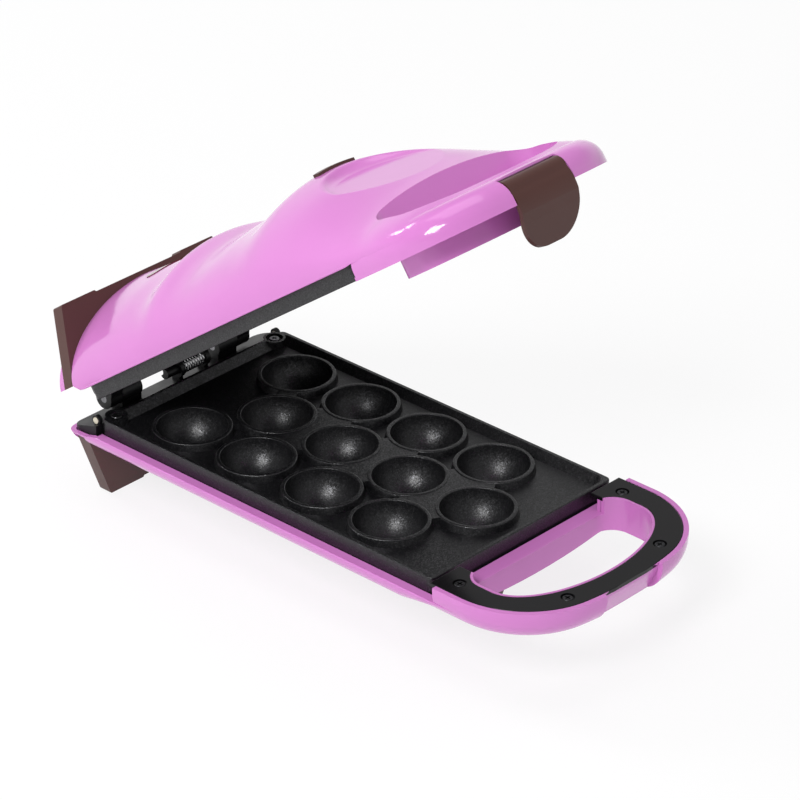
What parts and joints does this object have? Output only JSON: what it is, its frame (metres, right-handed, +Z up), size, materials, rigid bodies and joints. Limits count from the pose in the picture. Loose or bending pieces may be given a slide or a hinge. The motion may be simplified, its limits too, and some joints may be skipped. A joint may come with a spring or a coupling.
{
  "type": "cake pop maker",
  "caption": "Hinged electric cake pop maker with cast cup plates, loop handles, a swing latch and foot fins, shown open.",
  "frame": {"origin": "on the table, under the middle of the open product's box", "axes": "+Z up, -Y towards the handles and the user, +X to the user's right"},
  "size_m": [0.1322, 0.3194, 0.2251],
  "materials": {
    "pink_shell": "high gloss moulded plastic, orchid pink",
    "brown_plastic": "satin chocolate brown moulded plastic",
    "black_plastic": "satin black moulded plastic",
    "gloss_trim": "gloss black moulded plastic",
    "cup_plate": "die-cast, black non-stick coating with a fine sparkle",
    "screw_steel": "plain steel",
    "screw_black": "black zinc plated steel",
    "spring_steel": "wound steel wire",
    "heater_steel": "tube heater sheath",
    "reflector_sheet": "plain rolled sheet",
    "pale_pin": "cream heat-proof plastic",
    "rubber_pad": "matt rubber",
    "red_lens": "clear red lens",
    "green_lens": "clear green lens",
    "lamp_glass": "neon indicator glass"
  },
  "bodies": {
    "base": {"lower_shell": "pink_shell", "lower_plate": "cup_plate", "lower_plate_screws": "screw_steel", "handle_trim": "gloss_trim", "trim_screws": "screw_black", "rear_cover": "black_plastic", "corner_pins": "pale_pin", "hinge_pins": "screw_steel", "wire_guard": "spring_steel", "lower_fin": "brown_plastic", "front_foot": "brown_plastic", "foot_pads": "rubber_pad", "lower_heater": "heater_steel", "lower_reflector": "reflector_sheet", "thermostat": "pale_pin", "thermal_fuse": "screw_steel", "terminal_block": "pale_pin", "cord_gland": "black_plastic"},
    "lid": {"upper_shell": "pink_shell", "upper_plate": "cup_plate", "upper_plate_screws": "screw_steel", "lid_handle_cover": "pink_shell", "lid_cover_screws": "screw_black", "lid_hinge_frame": "black_plastic", "upper_fin": "brown_plastic", "crest_tab": "brown_plastic", "red_lens": "red_lens", "green_lens": "green_lens", "indicator_lamps": "lamp_glass", "upper_heater": "heater_steel", "upper_reflector": "reflector_sheet", "latch_pin": "screw_steel"},
    "latch": {"latch": "brown_plastic"}
  },
  "joints": [
    {"name": "lid_hinge", "type": "hinge", "parent": "base", "child": "lid", "pos_m": [0, 0.12926, 0.0472], "axis": [-1, 0, 0], "range_deg": [-36, 60]},
    {"name": "latch_hinge", "type": "hinge", "parent": "lid", "child": "latch", "pos_m": [0, -0.09511, 0.21985], "axis": [-1, 0, 0], "range_deg": [0, 18]}
  ]
}
